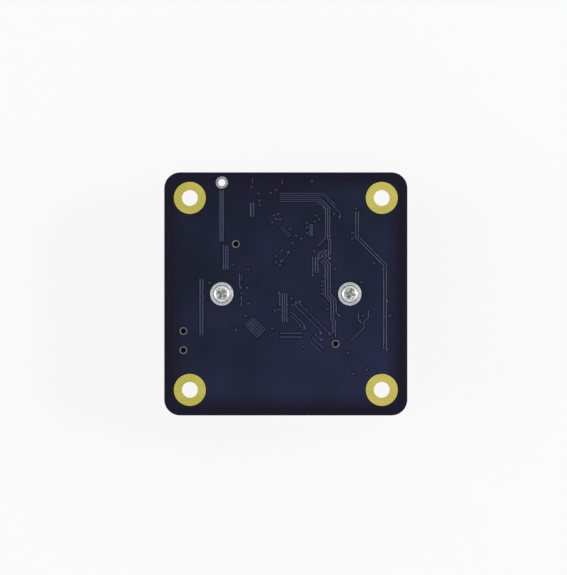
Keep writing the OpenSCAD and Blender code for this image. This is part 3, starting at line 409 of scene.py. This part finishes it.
solder = plated_finish("reflowed_solder", (206, 206, 208), (150, 151, 155), (0.18, 0.34), 0.3)
dress(soften("solder_lands", 0.015), solder)

# ---- Image sensor
# A ceramic tub with rows of notches along two sides, a silicon die in its floor whose
# light-sensitive field shimmers, and a glass lid cemented over it.

ceramic = Finish("white_ceramic")
ceramic.wear(
    Base_Color=ceramic.ramp(ceramic.grain(0.4), (0.3, paint(206, 200, 184)), (0.7, paint(226, 222, 208))),
    Roughness=ceramic.between(ceramic.grain(0.2), 0.5, 0.7),
    Normal=ceramic.relief(ceramic.grain(0.06, 2), 0.004))

die = Finish("silicon_die", Metallic=0.8)
field = die.grain(2.2, 1, die.stretched(1, 0.4, 1))
die.wear(
    Base_Color=die.ramp(field, *stops((0.3, 0.5, 0.7), [(70, 92, 96), (96, 84, 120), (64, 108, 92)])),
    Roughness=die.between(field, 0.12, 0.25))


def glass_finish(name, tint, coat, index=1.52):
    """Polished glass with the tinted gleam of an anti-reflection coat."""
    glass = Finish(name, Transmission_Weight=1.0, IOR=index,
                   Coat_Tint=paint(*coat), Coat_IOR=1.7, Coat_Roughness=0.02)
    smudge = glass.grain(3.5, 2)
    clearer = [min(255, level + 6) for level in tint]
    return glass.wear(
        Base_Color=glass.ramp(smudge, (0.3, paint(*tint)), (0.8, paint(*clearer))),
        Roughness=glass.between(smudge, 0.0, 0.03),
        Coat_Weight=glass.between(smudge, 0.7, 0.9))


cover_glass = glass_finish("clear_glass", (238, 246, 244), (210, 230, 255))
dress(soften("sensor_package", 0.04), ceramic)
dress(soften("sensor_die", 0.01), die)
dress(soften("sensor_cover_glass", 0.03), cover_glass)

# ---- Chips
# Controller, flash memory and four small chips: matte black moulding compound round tinned
# gull-wing leads. The mould leaves a fine spark-eroded texture, and a dimple at pin 1.

compound = Finish("moulding_compound", Specular_IOR_Level=0.35)
speckle = compound.grain(0.07, 2)
compound.wear(
    Base_Color=compound.ramp(speckle, (0.35, paint(24, 24, 26)), (0.65, paint(40, 40, 43))),
    Roughness=compound.between(speckle, 0.55, 0.72),
    Normal=compound.relief(speckle, 0.01))
for name in ("controller_body", "flash_body", "small_chip_bodies"):
    dress(soften(name, 0.03), compound)
for name in ("controller_leads", "flash_leads", "small_chip_leads"):
    dress(soften(name, 0.02), tin)

# ---- Crystal
# A ceramic base with a seam-welded metal lid, brushed by the welding rollers.

lid = Finish("nickel_lid", Metallic=1.0)
brushing = lid.grain(0.12, 3, lid.stretched(0.08, 1, 1))
lid.wear(
    Base_Color=lid.ramp(brushing, (0.3, paint(168, 164, 156)), (0.7, paint(206, 202, 194))),
    Roughness=lid.between(brushing, 0.25, 0.42),
    Normal=lid.relief(brushing, 0.004))
brown = Finish("brown_ceramic")
brown.wear(
    Base_Color=brown.ramp(brown.grain(0.3), (0.3, paint(96, 84, 66)), (0.7, paint(122, 108, 88))),
    Roughness=brown.between(brown.grain(0.15), 0.55, 0.75))
dress(soften("crystal_base", 0.03), brown)
dress(soften("crystal_lid", 0.03), lid)

# ---- Power parts
# A ferrite-shielded inductor and a moulded tantalum capacitor, each on bent tinned plates,
# and the small ferrite choke in the data lines.

ferrite = Finish("pressed_ferrite", Specular_IOR_Level=0.4)
pores = ferrite.grain(0.11, 4)
ferrite.wear(
    Base_Color=ferrite.ramp(pores, (0.3, paint(44, 44, 47)), (0.7, paint(72, 72, 75))),
    Roughness=ferrite.between(pores, 0.5, 0.75),
    Normal=ferrite.relief(pores, 0.02))

tantalum = Finish("ochre_moulding")
cloud = tantalum.grain(0.5, 4)
tantalum.wear(
    Base_Color=tantalum.ramp(cloud, (0.3, paint(196, 138, 40)), (0.7, paint(222, 168, 66))),
    Roughness=tantalum.between(cloud, 0.4, 0.58),
    Normal=tantalum.relief(tantalum.grain(0.08, 2), 0.008))
dress(soften("inductor_body", 0.06), ferrite)
dress(soften("choke_body", 0.03), ferrite)
dress(soften("tantalum_body", 0.05), tantalum)
for name in ("inductor_ends", "choke_ends", "tantalum_ends"):
    dress(soften(name, 0.02), tin)

# ---- Chip capacitors and resistors
# Fired ceramic blocks between tinned end caps: the capacitors tan to brown, the resistors
# under a black glaze.

dielectric = Finish("capacitor_ceramic")
batch = dielectric.grain(3.0, 1)
dielectric.wear(
    Base_Color=dielectric.ramp(batch, (0.35, paint(128, 98, 66)), (0.65, paint(166, 136, 98))),
    Roughness=dielectric.between(dielectric.grain(0.1), 0.45, 0.65),
    Normal=dielectric.relief(dielectric.grain(0.07, 2), 0.006))
glaze = Finish("resistor_glaze", Coat_Roughness=0.08)
glaze_flow = glaze.grain(0.3, 2)
glaze.wear(
    Base_Color=glaze.ramp(glaze_flow, (0.3, paint(20, 20, 22)), (0.7, paint(34, 34, 38))),
    Roughness=glaze.between(glaze_flow, 0.25, 0.4))
dress(soften("capacitor_bodies", 0.03), dielectric)
dress(soften("resistor_bodies", 0.02), glaze)
dress(soften("chip_end_caps", 0.04), tin)

# ---- Cable header
# A side-entry header moulded in black nylon, with gold-flashed contacts through its back
# wall and tinned tabs in its flanks that anchor it to the board.

nylon = Finish("black_nylon", Specular_IOR_Level=0.45)
skin = nylon.grain(0.25, 3)
nylon.wear(
    Base_Color=nylon.ramp(nylon.grain(2.5, 2), (0.3, paint(26, 26, 28)), (0.7, paint(38, 38, 41))),
    Roughness=nylon.between(skin, 0.36, 0.5),
    Normal=nylon.relief(skin, 0.006))

# The locating pegs' tips are rough, and painted dark: painted shade of the holes they sit down in.
shaded_peg_tip = Finish("peg_tip_painted_shade", Specular_IOR_Level=0.08)
pitting = shaded_peg_tip.grain(0.15, 3)
shaded_peg_tip.wear(
    Base_Color=shaded_peg_tip.ramp(pitting, (0.35, paint(12, 13, 22)), (0.65, paint(22, 23, 34))),
    Roughness=shaded_peg_tip.between(pitting, 0.7, 0.9))
# What reaches further than this into the board, in millimetres, is a peg.
PEG_BITE = 0.5


def peg_slot(middle, normal):
    """Rough, with painted shade, on the pegs' end faces, and moulded skin on all the rest."""
    return 1 if middle.z > front_z + PEG_BITE and normal.z > STEEP else 0


flash_gold = plated_finish("flash_gold", (226, 196, 118), (204, 168, 88), (0.18, 0.3), 0.6)
# The housing's pegs wear the painted shade on their ends.
dress(soften("header_housing", 0.05), nylon, shaded_peg_tip)
sort_faces(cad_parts["header_housing"], peg_slot)
dress(soften("header_contacts", 0.03), flash_gold)
dress(soften("header_solder_tabs", 0.03), tin)

# ---- Solder fillets
# Reflowed solder that wets each terminal's foot and runs out to the edge of its land in a
# concave skirt. Each skirt is one closed bead.

# Every soldered terminal, with how far the solder climbs it in millimetres.
SOLDERED = {
    "chip_end_caps": 0.24, "controller_leads": 0.09, "flash_leads": 0.12, "small_chip_leads": 0.1,
    "inductor_ends": 0.13, "choke_ends": 0.3, "tantalum_ends": 0.3, "header_contacts": 0.16,
    "header_solder_tabs": 0.4}
SKIRT_RINGS = 5
CORNER_STEPS = 3
# The rounding of a skirt's corners at its top and on its land.
TOP_CORNER_R = 0.03
LAND_CORNER_R = 0.08
# A terminal's foot is what lies this near its land.
FOOT_HEIGHT = 0.03
# A bead's rims lie this far inside the foot's and the land's outlines.
SUNK = 0.02


def corners_of(piece):
    """The corner points, in millimetres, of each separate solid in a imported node."""
    vertices = piece.data.vertices
    return [[vertices[corner].co / MM for corner in {corner for face in faces for corner in face.vertices}]
            for faces in solids_of(piece)]


def plan_box(points):
    """The plan of some points: left, low, right and high."""
    across = [point.x for point in points]
    along = [point.y for point in points]
    return (min(across), min(along), max(across), max(along))


def rounded_plan(box, radius):
    """The corners of a rectangle in plan, rounded and run anticlockwise."""
    left, low, right, high = box
    radius = min(radius, (right - left) / 2, (high - low) / 2)
    middles = ((right - radius, high - radius), (left + radius, high - radius),
               (left + radius, low + radius), (right - radius, low + radius))
    outline = []
    for quarter, (x, y) in enumerate(middles):
        for step in range(CORNER_STEPS + 1):
            turn = math.radians(90 * (quarter + step / CORNER_STEPS))
            outline.append((x + radius * math.cos(turn), y + radius * math.sin(turn)))
    return outline


def skirt(foot, land, land_z, climb, points, faces):
    """Adds one bead that falls from a terminal's foot to the edge of its land."""
    first = len(points)
    inner = (foot[0] + SUNK, foot[1] + SUNK, foot[2] - SUNK, foot[3] - SUNK)
    outer = (land[0] + SUNK, land[1] + SUNK, land[2] - SUNK, land[3] - SUNK)
    for ring in range(SKIRT_RINGS):
        run = ring / (SKIRT_RINGS - 1)
        box = [a + (b - a) * run for a, b in zip(inner, outer)]
        level = land_z + SUNK / 2 - (climb + SUNK / 2) * (1 - run) ** 2
        corner_r = TOP_CORNER_R + (LAND_CORNER_R - TOP_CORNER_R) * run
        points += [(x * MM, y * MM, level * MM) for x, y in rounded_plan(box, corner_r)]
    around = (CORNER_STEPS + 1) * 4
    for ring in range(SKIRT_RINGS - 1):
        for i in range(around):
            here = first + ring * around
            j = (i + 1) % around
            faces.append((here + i, here + j, here + around + j, here + around + i))
    faces.append([first + i for i in reversed(range(around))])
    faces.append([first + (SKIRT_RINGS - 1) * around + i for i in range(around)])


def make_piece(name, points, faces):
    """A new piece from points in metres and faces, with smooth shading and outward faces."""
    mesh = bpy.data.meshes.new(name)
    mesh.from_pydata(points, [], faces)
    shell = bmesh.new()
    shell.from_mesh(mesh)
    bmesh.ops.recalc_face_normals(shell, faces=shell.faces)
    shell.to_mesh(mesh)
    shell.free()
    mesh.shade_smooth()
    piece = bpy.data.objects.new(name, mesh)
    bpy.context.scene.collection.objects.link(piece)
    return piece


land_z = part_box("solder_lands")[0].z / MM
lands = [plan_box(points) for points in corners_of(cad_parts["solder_lands"])]
bead_points = []
bead_faces = []
for name, climb in SOLDERED.items():
    for terminal in corners_of(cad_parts[name]):
        foot = plan_box([point for point in terminal if point.z > land_z - FOOT_HEIGHT])
        x, y = (foot[0] + foot[2]) / 2, (foot[1] + foot[3]) / 2
        for land in lands:
            if land[0] < x < land[2] and land[1] < y < land[3]:
                skirt(foot, land, land_z, climb, bead_points, bead_faces)
fillets = dress(make_piece("solder_fillets", bead_points, bead_faces), solder)
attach(fillets, "root")

# ---- Lens holder
# One injection moulding in black glass-filled plastic: foot, screw bosses, gussets and
# threaded tower. The mould leaves a fine matte grain with faint flow lines.

moulding = Finish("black_moulding", Specular_IOR_Level=0.4)
texture = moulding.grain(0.09, 3)
flow = moulding.grain(1.6, 2, moulding.stretched(1, 1, 0.25))
moulding.wear(
    Base_Color=moulding.ramp(
        flow * 0.6 + texture * 0.4, (0.35, paint(22, 22, 24)), (0.65, paint(38, 38, 41))),
    Roughness=moulding.between(texture, 0.42, 0.62),
    Normal=moulding.relief(texture, 0.012))
# The holder's pegs wear the painted shade on their ends.
dress(soften("lens_holder", 0.12, segments=3), moulding, shaded_peg_tip)
sort_faces(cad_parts["lens_holder"], peg_slot)

# ---- Infrared filter
# A square of coated glass glued against the holder's shelf: pink in passing light.

dress(soften("ir_cut_filter", 0.03), glass_finish("filter_glass", (236, 196, 208), (255, 120, 110)))

# ---- Lens glass and its spacers
# Four ground and polished elements with anti-reflection coats, kept apart by blackened
# aluminium spacers, one of which holds the aperture stop.

optical = glass_finish("optical_glass", (236, 242, 248), (158, 160, 255), 1.6)
for name in ("front_lens", "second_lens", "third_lens", "rear_lens"):
    dress(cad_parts[name], optical)

matt_black = Finish("optical_black", Specular_IOR_Level=0.25)
flock = matt_black.grain(0.08, 3)
matt_black.wear(
    Base_Color=matt_black.ramp(flock, (0.3, paint(14, 14, 15)), (0.7, paint(24, 24, 26))),
    Roughness=matt_black.between(flock, 0.7, 0.85),
    Normal=matt_black.relief(flock, 0.008))
for name in ("front_spacer", "stop_spacer"):
    dress(soften(name, 0.03), matt_black)

# ---- Lens barrel and rings
# Turned from aluminium bar and black anodised: a threaded barrel with a fluted head, its
# two slotted retaining rings, and the notched ring that locks the barrel in the holder.

anodised = Finish("black_anodised", Specular_IOR_Level=0.7)
turning = anodised.grain(0.05, 2, anodised.stretched(0.02, 0.02, 1))
bloom = anodised.grain(1.2, 3)
anodised.wear(
    Base_Color=anodised.ramp(bloom, (0.3, paint(20, 20, 22)), (0.7, paint(34, 34, 37))),
    Roughness=anodised.between(turning * 0.6 + bloom * 0.4, 0.28, 0.44),
    Normal=anodised.relief(turning, 0.006))
dress(soften("lens_barrel", 0.05), anodised)
dress(soften("lens_lock_ring", 0.05), anodised)
dress(soften("front_retaining_ring", 0.04), anodised)
dress(soften("rear_retaining_ring", 0.04), anodised)

# ---- Barrel thread
# The fine thread cut on the barrel, seen between the head and the lock ring: a ridge wound
# round the shank that fades in at the head's neck and runs in under the ring.

THREAD_PITCH = 0.5
THREAD_DEPTH = 0.15
SHANK_R = 6.0
# The thread starts this far below the lock ring, and runs this far in under it.
NECK_BELOW_RING = 0.75
UNDER_RING = 0.2
# Half the ridge's breadth at its crest and root, and how deep in the shank its flat ends and its root lie.
CREST_HALF = 0.04
ROOT_HALF = 0.2
CREST_SUNK = 0.02
ROOT_SUNK = 0.06
# Steps to a turn, and steps over which each end of the ridge rises.
THREAD_STEPS = 72
FADE_STEPS = 14

ring_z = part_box("lens_lock_ring")[0].z / MM
last = round((NECK_BELOW_RING + UNDER_RING) / THREAD_PITCH * THREAD_STEPS)
root_r = SHANK_R - ROOT_SUNK
ridge_points = []
for step in range(last + 1):
    turn = 2 * math.pi * step / THREAD_STEPS
    level = ring_z - NECK_BELOW_RING + THREAD_PITCH * step / THREAD_STEPS
    full = min(1, step / FADE_STEPS, (last - step) / FADE_STEPS)
    crest_r = SHANK_R - CREST_SUNK + (THREAD_DEPTH + CREST_SUNK) * full
    profile = ((root_r, -ROOT_HALF), (crest_r, -CREST_HALF), (crest_r, CREST_HALF), (root_r, ROOT_HALF))
    for radius, lift in profile:
        ridge_points.append((radius * math.cos(turn) * MM, radius * math.sin(turn) * MM, (level + lift) * MM))
sides = len(profile)
ridge_faces = []
for step in range(last):
    here = step * sides
    for i in range(sides):
        j = (i + 1) % sides
        ridge_faces.append((here + i, here + j, here + sides + j, here + sides + i))
ridge_faces.append([i for i in reversed(range(sides))])
ridge_faces.append([last * sides + i for i in range(sides)])
thread = dress(make_piece("barrel_thread", ridge_points, ridge_faces), anodised)
thread.data.shade_flat()
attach(thread, "root")

# ---- Holder screws
# Two bright nickel-plated steel screws, driven from the back of the board into the holder.

nickel = Finish("bright_nickel", Metallic=1.0)
scuff = nickel.grain(0.4, 4)
nickel.wear(
    Base_Color=nickel.ramp(scuff, (0.3, paint(206, 207, 210)), (0.7, paint(244, 244, 246))),
    Roughness=nickel.between(scuff, 0.26, 0.4),
    Normal=nickel.relief(nickel.grain(0.25, 3), 0.012))

# The driver has bruised the flat top, and dirt and painted shade darken the recess in spots.
bitten = Finish("bitten_nickel", Metallic=1.0)
bruise = bitten.grain(0.22, 3)
bitten.wear(
    Base_Color=bitten.ramp(
        bruise, *stops((0.36, 0.46, 0.6), [(150, 152, 148), (226, 229, 224), (250, 252, 248)])),
    Roughness=bitten.between(bruise, 0.16, 0.3),
    Normal=bitten.relief(bruise, 0.07))
recess = Finish("recess_nickel_grime_and_shade", Metallic=1.0)
grime_and_shade = recess.grain(0.3, 3)
recess.wear(
    Base_Color=recess.ramp(grime_and_shade, (0.38, paint(140, 141, 138)), (0.6, paint(246, 248, 243))),
    Roughness=recess.between(grime_and_shade, 0.3, 0.5))

screws = soften("holder_screws", 0.03)
screw_low, screw_high = [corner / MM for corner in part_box("holder_screws")]
flange_r = (screw_high.y - screw_low.y) / 2
screw_spots = [Vector((screw_low.x + flange_r, 0)), Vector((screw_high.x - flange_r, 0))]
# The driver touches the head this far from its middle, and the flat top is this near the highest point.
BITE_R = 1.0
TOP_SKIN = 0.02


def screw_slot(middle, normal):
    """Plain nickel outside, the bruised flat on top, and the recess below it, darkened in spots by dirt and
    painted shade.
    """
    reach = min((middle.xy - spot).length for spot in screw_spots)
    if reach > BITE_R or middle.z < back_z:
        return 0
    return 1 if middle.z > screw_high.z - TOP_SKIN else 2


dress(screws, nickel, bitten, recess)
sort_faces(screws, screw_slot)

# ---- Studio
# A white sweep under the lens, a strong soft box left and right, a faint one above and
# below, and a room that is bright at the horizon and dim overhead.

WHITE = 0.965
PAPER_TONES = (0.86, 0.88)
FLOOR_SIZE = 6
# The floor shows white by this share near the part, where its shadow lies, and in full far off. Both
# distances are in metres.
FLOOR_GLOW = 0.88
NEAR_FLOOR = 0.12
FAR_FLOOR = 0.8
# Where the room starts and stops dimming, from level at 0 to overhead at 1, and its colour at the top.
DIM_FROM = 0.3
DIM_TO = 0.85
ROOM_TOP = (0.5, 0.5, 0.51, 1)


def grey(level):
    """A neutral colour, from black at 0 to white at 1."""
    return (level, level, level, 1)


bpy.ops.mesh.primitive_plane_add(size=FLOOR_SIZE)
floor = bpy.context.object
floor.name = "studio_floor"
sweep = Finish("white_sweep", Roughness=0.9, Specular_IOR_Level=0.1)
paper = sweep.ramp(sweep.grain(4, 2), *zip((0.3, 0.7), map(grey, PAPER_TONES)))
sweep.wear(Base_Color=paper)
glow = sweep.node("ShaderNodeEmission", {}, {"Color": grey(1), "Strength": WHITE})
seen = sweep.node("ShaderNodeLightPath", output="Is Camera Ray")
mirrored = sweep.node("ShaderNodeLightPath", output="Is Glossy Ray")
through = sweep.node("ShaderNodeLightPath", output="Is Transmission Ray")
away = sweep.node("ShaderNodeVectorMath", {"operation": "LENGTH"}, {0: sweep.place()}, output="Value") * MM
share = sweep.node("ShaderNodeMapRange", {}, {
    "Value": away, "From Min": NEAR_FLOOR, "From Max": FAR_FLOOR, "To Min": FLOOR_GLOW, "To Max": 1.0})
surface = sweep.node("ShaderNodeMixShader", {}, {
    0: (seen + mirrored + through) * share, 1: Wire(sweep, sweep.shader.outputs[0]), 2: glow})
sweep.tree.links.new(surface.socket, sweep.tree.nodes["Material Output"].inputs["Surface"])
dress(floor, sweep)

world = bpy.data.worlds.new("studio_room")
world.use_nodes = True
bpy.context.scene.world = world
sky = world.node_tree
direction = sky.nodes.new("ShaderNodeTexCoord")
split = sky.nodes.new("ShaderNodeSeparateXYZ")
height = sky.nodes.new("ShaderNodeValToRGB")
sky.links.new(direction.outputs["Generated"], split.inputs[0])
sky.links.new(split.outputs["Z"], height.inputs[0])
height.color_ramp.elements[0].position = DIM_FROM
height.color_ramp.elements[0].color = grey(WHITE)
height.color_ramp.elements[1].position = DIM_TO
height.color_ramp.elements[1].color = ROOM_TOP
sky.links.new(height.outputs[0], sky.nodes["Background"].inputs["Color"])


def soft_box(name, place, size, power):
    """A square lamp that faces the middle of the board: its place and size in metres, its power in watts."""
    lamp = bpy.data.lights.new(name, "AREA")
    lamp.shape = "SQUARE"
    lamp.size = size
    lamp.energy = power
    box = bpy.data.objects.new(name, lamp)
    bpy.context.scene.collection.objects.link(box)
    box.location = place
    aim = Vector((0, 0, back_z * MM)) - box.location
    box.rotation_euler = aim.to_track_quat("-Z", "Y").to_euler()


soft_box("left_box", (-0.42, 0, 0.42), 0.26, 0.7)
soft_box("right_box", (0.42, 0.06, 0.42), 0.26, 1.25)
soft_box("upper_box", (0.05, 0.45, 0.40), 0.25, 0.1)
soft_box("lower_box", (-0.05, -0.45, 0.36), 0.25, 0.1)

# The camera hangs above the board, looking straight down through a long lens. In millimetres: the
# breadth of what it sees at the board's back, its focal length and sensor, and its place over the board.
VIEW_BREADTH = 88.6
LENS_LENGTH = 400
SENSOR_BREADTH = 36
OVER_BOARD = (-0.36, 1.0)
camera = bpy.data.cameras.new("camera")
camera.lens = LENS_LENGTH
camera.sensor_fit = "HORIZONTAL"
camera.sensor_width = SENSOR_BREADTH
camera.clip_end = 20
stand = bpy.data.objects.new("camera", camera)
bpy.context.scene.collection.objects.link(stand)
camera_z = back_z + VIEW_BREADTH * LENS_LENGTH / SENSOR_BREADTH
stand.location = (OVER_BOARD[0] * MM, OVER_BOARD[1] * MM, camera_z * MM)
bpy.context.scene.camera = stand
bpy.context.scene.view_settings.view_transform = "Standard"
